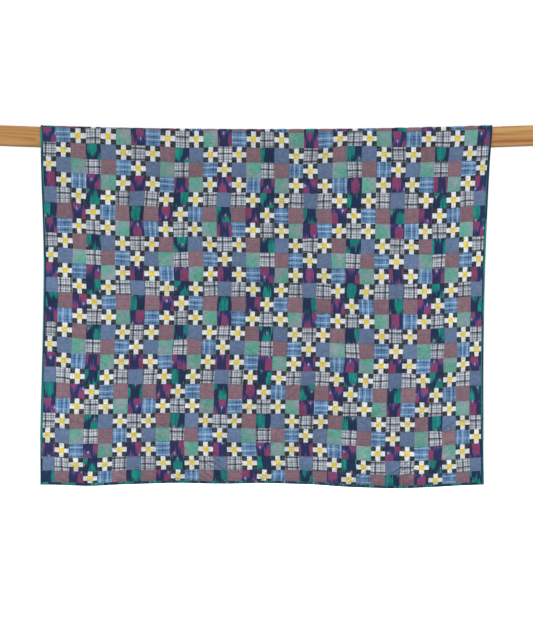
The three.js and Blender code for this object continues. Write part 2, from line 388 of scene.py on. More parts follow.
def drape(column, row):
    """The quilt's middle surface: the front fall's table, then round the rail's two top edges as quarter
    circles with the flat top between them, then straight down the back, with folds deepening downwards."""
    shape = np.broadcast(column, row).shape
    column, row = (place.ravel().astype(float) for place in np.broadcast_arrays(column, row))
    fall_rows, fall_x, fall_z = (np.array(part) for part in zip(*FRONT_FALL))
    across = np.stack([through(KEY_COLUMNS, line, column) for line in fall_x * MM])
    heights = np.stack([through(KEY_COLUMNS, line, column) for line in fall_z * MM])
    on_front = np.minimum(row, FRONT_ROWS)
    near_hem = np.maximum(0, 1 - on_front / SCALLOP_ROWS) ** 2
    front_x = through(fall_rows, across, on_front)
    front_z = through(fall_rows, heights, on_front) + near_hem * ridges(HEM_SCALLOPS, column)
    drop = np.maximum(0, heights[-1] - front_z) / FRONT_LENGTH
    front_y = -FALL_Y - ridges(FRONT_FOLDS, column) * drop**FOLD_GROWTH

    seam_x = across[-1]
    sag = -RAIL_SAG * (1 - (2 * seam_x / RAIL_LENGTH) ** 2)
    bend_z = sag + RAIL_HEIGHT / 2 - BEND_DROP
    along = (row - FRONT_ROWS) * ROW_PITCH - (bend_z - heights[-1])
    first_turn = np.clip(along / MID_BEND, 0, math.pi / 2)
    on_top = np.clip(along - BEND_ARC, 0, 2 * BEND_Y)
    second_turn = np.clip((along - BEND_ARC - 2 * BEND_Y) / MID_BEND, 0, math.pi / 2)
    down = np.maximum(along - 2 * BEND_ARC - 2 * BEND_Y, 0)
    over_x = seam_x * (1 - BACK_PINCH * eased(down / PINCH_DROP))
    over_y = -BEND_Y - MID_BEND * np.cos(first_turn) + on_top + MID_BEND * np.sin(second_turn)
    over_y = over_y + ridges(BACK_FOLDS, column) * (down / BACK_LENGTH) ** FOLD_GROWTH
    over_z = bend_z + np.minimum(along, 0) + MID_BEND * np.sin(first_turn)
    over_z = over_z - MID_BEND * (1 - np.cos(second_turn)) - down

    front = np.stack([front_x, front_y, front_z], axis=-1)
    over = np.stack([over_x, over_y, over_z], axis=-1)
    return np.where(row[:, None] > FRONT_ROWS, over, front).reshape(*shape, 3)


def in_patch(column, row):
    """Whole column and row, and the way across and along the patch from 0 to 1."""
    whole_column = np.clip(column.astype(int), 0, COLUMNS - 1)
    whole_row = np.clip(row.astype(int), 0, ROWS - 1)
    return whole_column, whole_row, column - whole_column, row - whole_row


def from_edges(column, row):
    """How far a place is from the nearer side and from the nearer hem, in metres."""
    from_side = np.minimum(column, COLUMNS - column) * COLUMN_PITCH
    from_hem = np.minimum(row, ROWS - row) * ROW_PITCH
    return np.stack(np.broadcast_arrays(from_side, from_hem))


def hanging(row, clear, ease):
    """0 at the rail's own row and so many rows clear of it, rising evenly to 1 over the next few rows."""
    away = np.maximum(FRONT_ROWS - row, row - FRONT_ROWS - 1)
    return np.clip((away - clear) / ease, 0, 1)


def unbound(column, row):
    """0 on the pressed edge under the binding, rising to 1 a little inside it."""
    return np.clip((from_edges(column, row).min(axis=0) - FLAT_EDGE) / EDGE_RISE, 0, 1)


def strayed(column, row):
    """Where a seam's column and row really lie: moved by the pulls, each a bell, which the raw edges hold
    back, by each seam corner's own small error, which runs straight from corner to corner along the seams,
    and by a slight wobble."""
    pulled = np.zeros((2, *column.shape))
    for middle, level, wide, tall, right, down in PULLS:
        bell = np.exp(-(((column - middle) / wide) ** 2) - ((row - level) / tall) ** 2)
        pulled += bell * np.array([right, down])[:, None, None] * MM
    pulled *= np.clip((from_edges(column, row) - FLAT_EDGE) / HELD_EDGE, 0, 1)
    left, low, across, along = in_patch(column, row)
    error = sum(
        corner_error[:, low + up, left + over] * np.abs(1 - over - across) * np.abs(1 - up - along)
        for up in (0, 1)
        for over in (0, 1)
    )
    wobble = SEAM_WOBBLE * unbound(column, row)
    right = pulled[0] + error[0] + wobble * crinkle(column + WOBBLE_APART[0], row)
    down = pulled[1] + error[1] + wobble * crinkle(column, row + WOBBLE_APART[1])
    return column + right / COLUMN_PITCH, row - down / ROW_PITCH


def creased(column, row):
    """How far the creases lift the cloth: each is a bell across its line that dies away along it. None
    reaches the rail, and the binding stiffens the edges, so they are shallower there."""
    lift = 0
    for middle, level, degrees, length, width, height in CREASES:
        turn = math.radians(degrees)
        right = (column - middle) * COLUMN_PITCH / MM
        up = (row - level) * ROW_PITCH / MM
        along = right * math.cos(turn) + up * math.sin(turn)
        across = up * math.cos(turn) - right * math.sin(turn)
        lift = lift + height * MM * np.exp(-((along / length) ** 2) - (across / width) ** 2)
    free = np.clip(from_edges(column, row).min(axis=0) / STIFF_EDGE, 0, 1)
    return lift * hanging(row, clear=1.5, ease=2) * (STIFF_SHARE + (1 - STIFF_SHARE) * free)


def unit(vectors):
    """The same directions, each with a length of one."""
    return vectors / np.linalg.norm(vectors, axis=-1, keepdims=True)


def raised(column, row, height):
    """A point above the creased middle surface, along the cross product of the surface's two directions."""
    step = 0.02
    right = drape(column + step, row) - drape(column - step, row)
    up = drape(column, row + step) - drape(column, row - step)
    outward = unit(np.cross(right, up))
    return drape(column, row) + outward * (height + creased(column, row))[..., None]


# The block layout, one letter a patch, repeated every six columns and six rows. From the top row down:
# P purple ikat, B blue plaid, N nine-patch, G grey plaid, M green madras, L plum, S slate, T teal ikat.
LAYOUT = np.array([list(line) for line in ("PBNGNM", "GNLTSN", "NSMGLB", "PNBPMN", "SGNTNG", "TLPNBL")])
CLOTHS = np.array(["P", "B", "G", "M", "L", "S", "T", "white", "black", "yellow", "backing"])
# A nine-patch: black corners, white arms and a yellow middle.
ARMS = ["black", "white", "black"]
NINE_PATCH = np.array([ARMS, ["white", "yellow", "white"], ARMS])

# Grid lines in a patch: beside each seam, on the nine-patch seams, and between. The backing keeps the lines
# at and beside each seam and in the middle. The row that goes over the rail has close, even lines.
FACE_LINES = np.array([0, 0.055, 0.19, 1 / 3, 0.5, 2 / 3, 0.81, 0.945])
BACK_FACE_LINES = np.array([0, 0.055, 1 / 3, 0.5, 2 / 3, 0.945])
UNDER_LINES = np.array([0, 0.055, 0.5, 0.945])
RAIL_LINES = np.arange(27) / 27


def grid(patches, pitch):
    """The lines of a row of patches, each with its own, and one along the pressed edge at both ends."""
    lines = np.concatenate([place + own for place, own in enumerate(patches)])
    pressed = FLAT_EDGE / pitch
    return np.union1d(lines, [pressed, len(patches) - pressed, len(patches)])


back_rows = ROWS - FRONT_ROWS - 1
column_lines = grid([FACE_LINES] * COLUMNS, COLUMN_PITCH)
row_lines = grid([FACE_LINES] * FRONT_ROWS + [RAIL_LINES] + [BACK_FACE_LINES] * back_rows, ROW_PITCH)
under_column_lines = grid([UNDER_LINES] * COLUMNS, COLUMN_PITCH)
under_row_lines = grid([UNDER_LINES] * FRONT_ROWS + [RAIL_LINES] + [UNDER_LINES] * back_rows, ROW_PITCH)

chance = np.random.default_rng(41)
patch_shift = chance.uniform(0, 1, (ROWS, COLUMNS, 2))
patch_turned = chance.uniform(0, 1, (ROWS, COLUMNS)) < 0.5
patch_tone = chance.normal(0, 1, (ROWS, COLUMNS))
crinkle_waves = chance.uniform(0, 1, (9, 4))
corner_error = np.zeros((2, ROWS + 1, COLUMNS + 1))
corner_error[:, 1:-1, 1:-1] = SEAM_ERROR * np.clip(chance.normal(0, 1, (2, ROWS - 1, COLUMNS - 1)), -2, 2)


def letter_at(column, row):
    """The layout's letter for whole columns and rows, with its bottom row at the front hem."""
    return LAYOUT[(len(LAYOUT) - 1 - row) % len(LAYOUT), column % LAYOUT.shape[1]]


def cushion(t):
    """The section of a quilted square from seam to seam: one less the cube of the way from its middle."""
    return 1 - np.abs(2 * t - 1) ** 3


def crinkle(column, row):
    """The puckers of washed cotton: a sum of sine waves of 34 to 90 mm in all directions."""
    x = column * COLUMN_PITCH
    y = row * ROW_PITCH
    shortest, longest = CRINKLE_LENGTHS
    total = 0
    for length, turn, phase, height in crinkle_waves:
        wave = 2 * math.pi / (shortest + (longest - shortest) * length)
        angle = math.pi * turn
        way = x * math.cos(angle) + y * math.sin(angle)
        share = CRINKLE_LEAST + (1 - CRINKLE_LEAST) * height
        total = total + share * np.sin(wave * way + 2 * math.pi * phase)
    return total / math.sqrt(len(crinkle_waves))


def quilted_height(column, row):
    """The patchwork face above the middle surface: a cushion on each patch, fullest below its middle where
    the filling settles, nine small ones on a nine-patch, crinkled, and pressed flat under the binding."""
    whole_column, whole_row, across, along = in_patch(column, row)
    settled = np.where(row < FRONT_ROWS, along**SETTLED, 1 - (1 - along) ** SETTLED)
    patch = cushion(across) * cushion(settled)
    small = cushion(across * 3 % 1) * cushion(along * 3 % 1)
    nine = letter_at(whole_column, whole_row) == "N"
    relief = np.where(nine, NINE_WHOLE * patch + NINE_SMALL * small, patch)
    return SHEET / 2 + unbound(column, row) * (PUFF * relief + CRINKLE * crinkle(column, row) * patch)


def backing_height(column, row):
    """The backing below the middle surface: a lower cushion on each patch, and flat over the rail."""
    _, _, across, along = in_patch(column, row)
    puff = BACK_PUFF * hanging(row, clear=1, ease=1)
    return -SHEET / 2 - unbound(column, row) * puff * cushion(across) * cushion(along)


def rim_faces(edge, under_edge, picks):
    """Triangles that close the sheet along one edge: one on each step between the face's many points, and
    one on each step between the backing's fewer points."""
    before = np.searchsorted(picks, np.arange(len(edge) - 1), side="right") - 1
    from_face = np.stack([edge[:-1], edge[1:], under_edge[before]], axis=-1)
    from_backing = np.stack([edge[picks[1:]], under_edge[1:], under_edge[:-1]], axis=-1)
    return np.concatenate([from_face, from_backing])


def lay_cloths(mesh, on_face, on_plain):
    """Gives each face its cloth and its patch's tone, and each corner its place on the cloth, cut patch by
    patch at a random place and way round, and its place from the seams. Backing and rim are plain."""
    middle = (on_face[:, 0] + on_face[:, 2]) / 2
    column, row = middle.astype(int).T
    letters = letter_at(column, row)
    small_column, small_row = (middle % 1 * 3).astype(int).T
    names = np.where(letters == "N", NINE_PATCH[small_row, small_column], letters)
    plain = len(mesh.polygons) - len(names)
    names = np.concatenate([names, np.full(plain, "backing")])
    tone = np.concatenate([patch_tone[row, column], np.zeros(plain)])
    mesh.polygons.foreach_set("material_index", (names[:, None] == CLOTHS).argmax(axis=1))
    mesh.attributes.new("tone", "FLOAT", "FACE").data.foreach_set("value", tone)

    pitches = np.array([COLUMN_PITCH, ROW_PITCH])
    from_seams = (on_face - np.stack([column, row], axis=-1)[:, None]) * pitches
    turned = patch_turned[row, column] & ~np.isin(letters, ["P", "T"])
    on_cloth = np.where(turned[:, None, None], from_seams[..., ::-1], from_seams)
    on_cloth = on_cloth + patch_shift[row, column][:, None]
    for name, places in (("weave", on_cloth), ("seam", from_seams)):
        corners = np.concatenate([places.reshape(-1, 2), on_plain * pitches])
        mesh.uv_layers.new(name=name).data.foreach_set("uv", corners.ravel())


def meshed(name, points, faces, smooth=True):
    """A mesh of points and of faces, which come as arrays of their corners, shaded smooth or flat."""
    corners = [face for part in faces for face in part.tolist()]
    mesh = bpy.data.meshes.new(name)
    mesh.from_pydata(points.reshape(-1, 3).tolist(), [], corners)
    mesh.polygons.foreach_set("use_smooth", np.full(len(corners), smooth))
    return mesh


def quilt_mesh():
    """One closed sheet: the patchwork face on every grid line, the backing on fewer, and a rim between."""
    columns, rows = np.meshgrid(column_lines, row_lines)
    face = raised(*strayed(columns, rows), quilted_height(columns, rows))
    under_columns, under_rows = np.meshgrid(under_column_lines, under_row_lines)
    under = raised(*strayed(under_columns, under_rows), backing_height(under_columns, under_rows))
    points = np.concatenate([face.reshape(-1, 3), under.reshape(-1, 3)])
    top = np.arange(columns.size).reshape(columns.shape)
    low = columns.size + np.arange(under_columns.size).reshape(under_columns.shape)

    quads = np.stack([top[:-1, :-1], top[:-1, 1:], top[1:, 1:], top[1:, :-1]], axis=-1).reshape(-1, 4)
    under_quads = np.stack([low[:-1, :-1], low[1:, :-1], low[1:, 1:], low[:-1, 1:]], axis=-1).reshape(-1, 4)
    column_picks = np.searchsorted(column_lines, under_column_lines)
    row_picks = np.searchsorted(row_lines, under_row_lines)
    rim = np.concatenate([
        rim_faces(top[:, 0], low[:, 0], row_picks),
        rim_faces(top[:, -1], low[:, -1], row_picks)[:, ::-1],
        rim_faces(top[0], low[0], column_picks)[:, ::-1],
        rim_faces(top[-1], low[-1], column_picks),
    ])
    mesh = meshed("quilt_patchwork", points, [quads, under_quads, rim])
    on_face = np.stack([columns, rows], axis=-1).reshape(-1, 2)
    on_backing = np.stack([under_columns, under_rows], axis=-1).reshape(-1, 2)
    plain = np.concatenate([under_quads.ravel(), rim.ravel()])
    lay_cloths(mesh, on_face[quads], np.concatenate([on_face, on_backing])[plain])
    mesh.update()
    return mesh


# Cotton's threads and wear, as lumps to the metre across a thread and along it, and how far each shades it.
THREAD = 0.9 * MM
WEAVE = 0.12 * MM
CROSSING = 0.3
SLUBS = (1100.0, 45.0)
SLUB_SHADE = 0.5
UNEVEN = (240.0, 50.0)
UNEVEN_SHADE = 0.65
WORN = (38.0, 38.0)
WORN_SHADE = 0.45
ODD_THREADS = (420.0, 14.0)

# Sewing: painted shade in a seam, its stitches, the puckers it gathers, and the drag lines above the hem.
PAINTED_SEAM_SHADE = 2 * MM
PAINTED_SEAM_DARKNESS = 0.78
PIECING_STITCH = 3 * MM
PIECING_HALF = 1.4 * MM
PIECING_RELIEF = 0.25 * MM
PUCKERS = (120.0, 90.0)
PUCKER_RELIEF = 1.6 * MM
PUCKER_REACH = 12 * MM
GATHERED = 1.8
DRAG_TURN = math.radians(38)
DRAG_LINES = (12.0, 62.0)
DRAG_PLACES = 7.0
DRAG_RELIEF = 12 * MM
DRAG_LOW = -1.5
DRAG_HIGH = -0.9


class Cotton(Finish):
    """A woven cotton: its threads' coordinates u and v in metres, and the sewing of a dyed cloth."""

    def __init__(self, name):
        super().__init__(name, roughness=0.92, sheen=0.12)
        self.u, self.v = self.mapped("weave")

    def mapped(self, name):
        """The two coordinates that one of the mesh's maps gives."""
        node = self.add("ShaderNodeUVMap")
        node.uv_map = name
        return self.split(node.outputs[0])[:2]

    def lumps(self, across, along, detail=2.0):
        """Noise on the cloth: so many lumps to the metre across the warp and along it."""
        return self.noise(self.point(self.times(self.u, across), self.times(self.v, along)), detail)

    def stripes(self, coordinate, sett, steps="CONSTANT"):
        """A sett of stripes, (width in millimetres, colour) in turn, repeated along one coordinate."""
        widths, colours = zip(*sett)
        starts = (np.cumsum(widths) - widths) / sum(widths)
        return self.ramp(self.repeated(coordinate, sum(widths) * MM), list(zip(starts, colours)), steps)

    def drag_lines(self):
        """Fine wrinkles here and there that rise from the hem towards both sides, and fade higher up: noise
        drawn out along a slanting line, mirrored about mid-span."""
        x, _, up = self.split(self.place())
        out = self.calc("ABSOLUTE", x)
        along = self.added(self.times(out, math.cos(DRAG_TURN)), up, math.sin(DRAG_TURN))
        across = self.added(self.times(out, -math.sin(DRAG_TURN)), up, math.cos(DRAG_TURN))
        drawn_out = self.point(self.times(along, DRAG_LINES[0]), self.times(across, DRAG_LINES[1]))
        places = self.point(self.times(x, DRAG_PLACES), self.times(up, DRAG_PLACES))
        low = self.spread(up, DRAG_LOW, DRAG_HIGH, 1.0, 0.3)
        here = self.spread(self.noise(places, detail=1.0), 0.46, 0.66, 0.12, 1.0)
        height = self.times(self.times(low, here), DRAG_RELIEF)
        return self.times(self.noise(drawn_out, detail=1.0), height)

    def sew(self, dyed, faded=0.065, pieces=1, dragged=True):
        """Finishes a dyed cloth: slubs in both threads, a patch's own tone, painted shade and small stitches
        in the seam, and the relief of the weave. A patch has so many pieces each way, with a seam round
        each."""
        tone = self.add("ShaderNodeAttribute")
        tone.attribute_name = "tone"
        slub = self.plus(self.lumps(*SLUBS), self.lumps(*SLUBS[::-1]))
        uneven = self.plus(self.lumps(*UNEVEN, detail=1.0), self.lumps(*UNEVEN[::-1], detail=1.0))
        worn = self.lumps(*WORN, detail=3.0)
        light = self.added(1.0, tone.outputs["Fac"], faded)
        light = self.added(light, self.less(slub, 1.0), SLUB_SHADE)
        light = self.added(light, self.less(worn, 0.5), WORN_SHADE)
        light = self.added(light, self.less(uneven, 1.0), UNEVEN_SHADE)
        # Painted shade: the colour darkens within a couple of millimetres of each seam, where the ditch lies
        # in shade.
        across, along = self.mapped("seam")
        to_side = self.calc("PINGPONG", across, COLUMN_PITCH / pieces / 2)
        to_end = self.calc("PINGPONG", along, ROW_PITCH / pieces / 2)
        near = self.calc("MINIMUM", to_side, to_end)
        light = self.times(light, self.spread(near, 0.0, PAINTED_SEAM_SHADE, PAINTED_SEAM_DARKNESS, 1.0))
        self.give("Base Color", self.mix(1.0, dyed, self.point(light, light, light), "MULTIPLY"))

        over = self.calc("SINE", self.times(self.u, 2 * math.pi / THREAD))
        under = self.calc("SINE", self.times(self.v, 2 * math.pi / THREAD))
        woven = self.added(slub, self.times(over, under), CROSSING)
        beside = self.calc("LESS_THAN", to_side, to_end)
        down_seam = self.added(across, beside, self.less(along, across))
        stitch = self.calc("SINE", self.times(down_seam, 2 * math.pi / PIECING_STITCH))
        stitched = self.times(self.spread(near, 0.0, PIECING_HALF, PIECING_RELIEF, 0.0), stitch)
        puckers = self.times(self.lumps(*PUCKERS, detail=1.0), PUCKER_RELIEF)
        relief = self.added(stitched, puckers, self.spread(near, 0.0, PUCKER_REACH, GATHERED, 1.0))
        if dragged:
            relief = self.plus(relief, self.drag_lines())
        self.bump(self.added(relief, woven, WEAVE), 1.0)
        return self.material


def plain_cotton(name, colour, second, lumps=60.0, **sewn):
    """A plain-dyed cotton, uneven between two shades in lumps of so many to the metre."""
    cloth = Cotton(name)
    uneven = cloth.spread(cloth.lumps(lumps, lumps, detail=3.0), 0.35, 0.7)
    return cloth.sew(cloth.mix(uneven, colour, second), faded=0.04, **sewn)


def woven_check(name, warp, weft, odd_share=0.0, odd_colour=None, steps="CONSTANT"):
    """A check of dyed warp and weft: the two setts show equally, with a few odd warp threads."""
    cloth = Cotton(name)
    dyed = cloth.mix(0.5, cloth.stripes(cloth.u, warp, steps), cloth.stripes(cloth.v, weft, steps))
    if odd_share:
        odd = cloth.spread(cloth.lumps(*ODD_THREADS), 0.52, 0.72, to_high=odd_share)
        dyed = cloth.mix(odd, dyed, odd_colour)
    return cloth.sew(dyed)


def blue_plaid():
    """Blue plaid: navy and white lines in turn one way, over wider soft bands of blue with fewer lines."""
    navy, dark, mid = srgb(0, 14, 70), srgb(66, 106, 152), srgb(90, 130, 172)
    light, pale, white = srgb(114, 152, 190), srgb(166, 196, 222), srgb(208, 232, 250)
    bands = [(15, mid), (3.5, navy), (8, mid), (5, dark), (12, light), (2.5, pale), (7, mid)]
    lines = [
        (10, mid), (4, navy), (7, mid), (2.8, white), (8, mid),
        (4, navy), (9, light), (2.8, white), (6, mid),
    ]
    return woven_check("blue_plaid", bands, lines)


def grey_plaid():
    """Grey plaid: single black bars over light and grey bands, which darken each other where they cross."""
    cloth = Cotton("grey_plaid")
    black, white = (0.17, 0.175, 0.2, 1), (1, 1, 1, 1)
    pale, grey, dark_grey = (0.82, 0.83, 0.86, 1), (0.61, 0.63, 0.66, 1), (0.47, 0.48, 0.5, 1)
    bar = [(2, dark_grey), (5.5, black), (2, dark_grey)]
    warp = [*bar, (6, white), (4, grey), (6, white), (6, dark_grey), (5, pale), (5, grey), (6, white)]
    weft = [*bar, (7, white), (5, grey), (4, white), (6, dark_grey), (7, white), (8, grey)]
    bars = cloth.mix(1.0, cloth.stripes(cloth.u, warp), cloth.stripes(cloth.v, weft), "MULTIPLY")
    return cloth.sew(cloth.mix(1.0, bars, srgb(204, 210, 219), "MULTIPLY"))


def green_madras():
    """Green madras: wide bands of sea green and greyed green both ways, with thin lines at their edges."""
    green, grey = srgb(94, 161, 145), srgb(140, 152, 161)
    warp = [(44, green), (3, grey), (4, green), (30, grey), (4, green), (3, grey)]
    weft = [(52, green), (3, grey), (4, green), (27, grey), (4, green)]
    return woven_check("green_madras", warp, weft, odd_share=0.4, odd_colour=srgb(118, 166, 148))


def plum_chambray():
    """Plum chambray: dusty mauve and rose threads with a thin dark windowpane line both ways."""
    mauve, rose, deep = srgb(122, 101, 116), srgb(142, 104, 111), srgb(106, 82, 95)
    warp = [(7, mauve), (5, rose), (6, mauve), (7, rose), (2, deep)]
    weft = [(27, srgb(128, 102, 113)), (2, deep)]
    return woven_check("plum_chambray", warp, weft, odd_share=0.4, odd_colour=srgb(140, 110, 120))


def slate_chambray():
    """Slate chambray: denim blue with a few lavender and teal warp threads."""
    slate, lavender, teal = srgb(88, 112, 148), srgb(106, 113, 155), srgb(78, 118, 148)
    odd = srgb(118, 128, 160)
    warp = [(8, slate), (5, lavender), (7, slate), (5, teal), (6, slate), (3, lavender), (5, teal)]
    weft = [(20, slate), (20, srgb(100, 117, 146))]
    return woven_check("slate_chambray", warp, weft, odd_share=0.6, odd_colour=odd, steps="LINEAR")


# Ikat: its tied bundles of warp and their threads, in lumps to the metre, how far a bundle slips along and
# drifts across, a bar's point, the depths where its halo and core come in, and half a lozenge each way.
BUNDLES = (210.0, 5.0)
BUNDLE_DRIFT = (26.0, 9.0)
BRIGHT_THREADS = (90.0, 9.0)
UNDYED_THREADS = (300.0, 5.0)
SLIP = 120 * MM
EYE_SLIP = 16 * MM
DRIFT_SHARE = 0.5
POINT = 45 * MM
HALO = (-7 * MM, 4 * MM)
CORE = (4 * MM, 8 * MM)
EYE_HALF = (4.4 * MM, 8 * MM)

# Each ikat's dyes: ground, flame, its brighter threads, the halo round it and the lozenge.
MAGENTA_ON_NAVY = [
    srgb(32, 43, 84), srgb(126, 62, 104), srgb(136, 58, 98), srgb(82, 68, 150), srgb(136, 172, 176),
]
EMERALD_ON_NAVY = [
    srgb(18, 40, 76), srgb(12, 115, 116), srgb(6, 144, 126), srgb(26, 66, 88), srgb(180, 134, 154),
]


def ikat(name, dyes, figure, length, eyes):
    """A warp-dyed ikat: staggered bars of dye on a dark ground, as wide as the figure and half the length
    long. A bar ends in a point, and its ends run out in flames, because the tied bundles of warp slip along
    each other. Some points hold a pale lozenge, as strong as the share in eyes."""
    ground, flame, bright, halo, eye = dyes
    cloth = Cotton(name)

    def swing(coordinate, repeat):
        """Up from minus a quarter to a quarter and down again, once in each repeat."""
        return cloth.less(cloth.calc("PINGPONG", cloth.calc("DIVIDE", coordinate, repeat), 0.5), 0.25)

    slip = cloth.less(cloth.lumps(*BUNDLES, detail=3.0), 0.5)
    drift = cloth.less(cloth.lumps(*BUNDLE_DRIFT), 0.5)
    u = cloth.added(cloth.u, drift, DRIFT_SHARE * figure)
    v = cloth.added(cloth.v, slip, SLIP)
    side = cloth.calc("SIGN", cloth.calc("SINE", cloth.times(u, math.pi / figure)))
    depth = cloth.times(cloth.times(side, swing(v, length)), length)
    depth = cloth.added(depth, swing(u, figure), POINT)
    core = cloth.mix(cloth.spread(cloth.lumps(*BRIGHT_THREADS), 0.4, 0.65), flame, bright)
    dyed = cloth.mix(cloth.spread(depth, *HALO, to_high=0.85), ground, halo)
    dyed = cloth.mix(cloth.spread(depth, *CORE), dyed, core)
    undyed = cloth.spread(cloth.lumps(*UNDYED_THREADS), 0.54, 0.78, to_high=0.45)
    dyed = cloth.mix(undyed, dyed, ground)

    eye_u = cloth.less(cloth.repeated(u, 2 * figure), 0.25)
    eye_v = cloth.less(cloth.repeated(cloth.added(cloth.v, slip, EYE_SLIP), length / 2), 0.5)
    eye_u = cloth.times(cloth.calc("ABSOLUTE", eye_u), 2 * figure / EYE_HALF[0])
    eye_v = cloth.times(cloth.calc("ABSOLUTE", eye_v), length / 2 / EYE_HALF[1])
    reach = cloth.plus(eye_u, eye_v)
    dyed = cloth.mix(cloth.spread(reach, 1.2, 1.8, eyes, 0.0), dyed, halo)
    dyed = cloth.mix(cloth.spread(reach, 0.8, 1.15, eyes, 0.0), dyed, eye)
    return cloth.sew(dyed, faded=0.07)


def shown(name, data):
    """An object at the origin with that mesh, light or camera, put into the scene."""
    thing = bpy.data.objects.new(name, data)
    bpy.context.scene.collection.objects.link(thing)
    return thing


quilt = shown("quilt_patchwork", quilt_mesh())
for finish in (
    ikat("purple_ikat", MAGENTA_ON_NAVY, figure=37 * MM, length=150 * MM, eyes=0.9),
    blue_plaid(),
    grey_plaid(),
    green_madras(),
    plum_chambray(),
    slate_chambray(),
    ikat("teal_ikat", EMERALD_ON_NAVY, figure=40 * MM, length=160 * MM, eyes=0.9),
    plain_cotton("white_cotton", srgb(216, 223, 224), srgb(226, 231, 231), pieces=3),
    plain_cotton("black_cotton", srgb(2, 5, 12), srgb(80, 83, 90), lumps=130.0, pieces=3),
    plain_cotton("yellow_cotton", srgb(236, 206, 58), srgb(228, 198, 76), pieces=3),
    plain_cotton("backing_cotton", srgb(206, 201, 188), srgb(214, 208, 196), dragged=False),
):
    quilt.data.materials.append(finish)
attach(quilt, "root")
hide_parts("quilt")

# Binding: a strip of the teal ikat folded round each raw edge and sewn down on both sides, mitred at the
# corners. Each of the four lengths follows its edge of the quilt, the two side ones over the rail as well.

# The strip's section: inset from the raw edge and height, in millimetres, from one sewn lip over the fold to
# the other, its outside, and back along the quilt.
BINDING_SECTION = [
    (11.5, 2.0), (10.9, 2.9), (9.0, 3.2), (5.5, 3.4), (2.0, 3.3), (0.0, 2.9), (-1.0, 2.1), (-1.5, 0.8),
    (-1.5, -0.8), (-1.0, -2.1), (0.0, -2.8), (2.0, -3.1), (5.5, -3.1), (9.0, -3.1), (10.9, -2.8),
    (11.5, -2.0), (10.5, -1.9), (-0.3, -1.9), (-0.3, 1.9), (10.5, 1.9),
]
BINDING_OUTSIDE = 16
GATHER = 0.18 * MM
GATHER_LENGTH = 9 * MM
GATHER_SWAY = (1.7, 5.1)
MITRE_EASE = 70 * MM
# The wander of its width: share of the width, radians to a grid line, and a shift by the edge's own share.
WANDER_WAVES = [(0.035, 1.9, 20), (0.021, 4.7, 50)]
CLEAR_OF_SEAM = 10 * MM
SIDE_OFF_GRAIN = 0.004
HEM_OFF_GRAIN = 0.02


class Edge:
    """A raw edge of the quilt: a side or a hem, near (left or front) or far, with its grid lines, the share
    by which its binding is sewn wider than cut, and where on the cloth that was cut, in metres."""

    def __init__(self, is_side, is_far, wider, cut_at):
        self.is_side = is_side
        self.is_far = is_far
        self.wider = wider
        self.cut_at = cut_at
        self.lines, self.pitch = (row_lines, ROW_PITCH) if is_side else (column_lines, COLUMN_PITCH)
        self.patches, self.patch = (COLUMNS, COLUMN_PITCH) if is_side else (ROWS, ROW_PITCH)

    def place(self, inset, line):
        """The column and row at an inset from the edge, in metres, and a line along it."""
        inwards = inset / self.patch
        if self.is_far:
            inwards = self.patches - inwards
        return (inwards, line) if self.is_side else (line, inwards)

    def sewn(self, inset, line):
        """An inset as it is sewn: wider by the edge's own share and by a slow wander of two sine waves, both
        eased to nothing at the mitred ends."""
        from_end = np.minimum(line, self.lines[-1] - line) * self.pitch
        wander = sum(wide * np.sin(turn * line + shift * self.wider) for wide, turn, shift in WANDER_WAVES)
        return inset * (1 + eased(from_end / MITRE_EASE) * (self.wider + wander))


def binding_strip(name, edge, cloth):
    """A closed strip: the section carried along an edge's lines, with its ends cut on the corner's diagonal.
    A side strip is cut along the warp and a hem strip across it, both a little off the grain. The right side
    and the front hem mirror the section, so their faces are turned outwards again."""
    inset, height = np.array(BINDING_SECTION).T * MM
    size = len(inset)
    last = edge.lines[-1]
    past_mitre = np.minimum(edge.lines, last - edge.lines) * edge.pitch > inset.max() + SEWN_GAP
    lines = np.concatenate([[0], edge.lines[past_mitre], [last]])
    stations = np.repeat(lines[:, None], size, axis=1)
    mitre = (inset + SEWN_GAP) / edge.pitch
    stations[0] = mitre
    stations[-1] = last - mitre
    along = stations * edge.pitch
    outside = (np.arange(size) > 0) & (np.arange(size) < BINDING_OUTSIDE - 1)
    sway = GATHER_SWAY[0] * np.sin(stations * GATHER_SWAY[1])
    gathers = np.sin(2 * math.pi * along / GATHER_LENGTH + sway)
    column, row = edge.place(np.where(inset > 0, edge.sewn(inset, stations), inset), stations)
    points = raised(column, row, height + np.sign(height) * GATHER * gathers * outside)

    ring = np.arange(len(lines) * size).reshape(len(lines), size)
    beside = np.roll(ring, -1, axis=1)
    quads = np.stack([ring[:-1], ring[1:], beside[1:], beside[:-1]], axis=-1).reshape(-1, 4)
    caps = np.stack([ring[0], ring[-1][::-1]])
    mesh = meshed(name, points, [quads, caps])

    round_the_edge = np.concatenate([[0], np.cumsum(np.hypot(np.diff(inset), np.diff(height)))])
    if edge.is_side:
        u, v = round_the_edge + SIDE_OFF_GRAIN * along, along
    else:
        u, v = along, round_the_edge + HEM_OFF_GRAIN * along
    weave = (np.stack([u, v], axis=-1) + edge.cut_at).reshape(-1, 2)
    corners = np.concatenate([quads.ravel(), caps.ravel()])
    # The lips lie on a seam, so they take the cotton's painted seam shade; the rest is too far from a seam
    # for it.
    seam = np.where(np.isin(corners % size, (0, BINDING_OUTSIDE - 1)), 0.0, CLEAR_OF_SEAM)
    mesh.uv_layers.new(name="weave").data.foreach_set("uv", weave[corners].ravel())
    mesh.uv_layers.new(name="seam").data.foreach_set("uv", np.repeat(seam, 2))
    mesh.update()
    if edge.is_side == edge.is_far:
        mesh.flip_normals()
    mesh.materials.append(cloth)
    return shown(name, mesh)


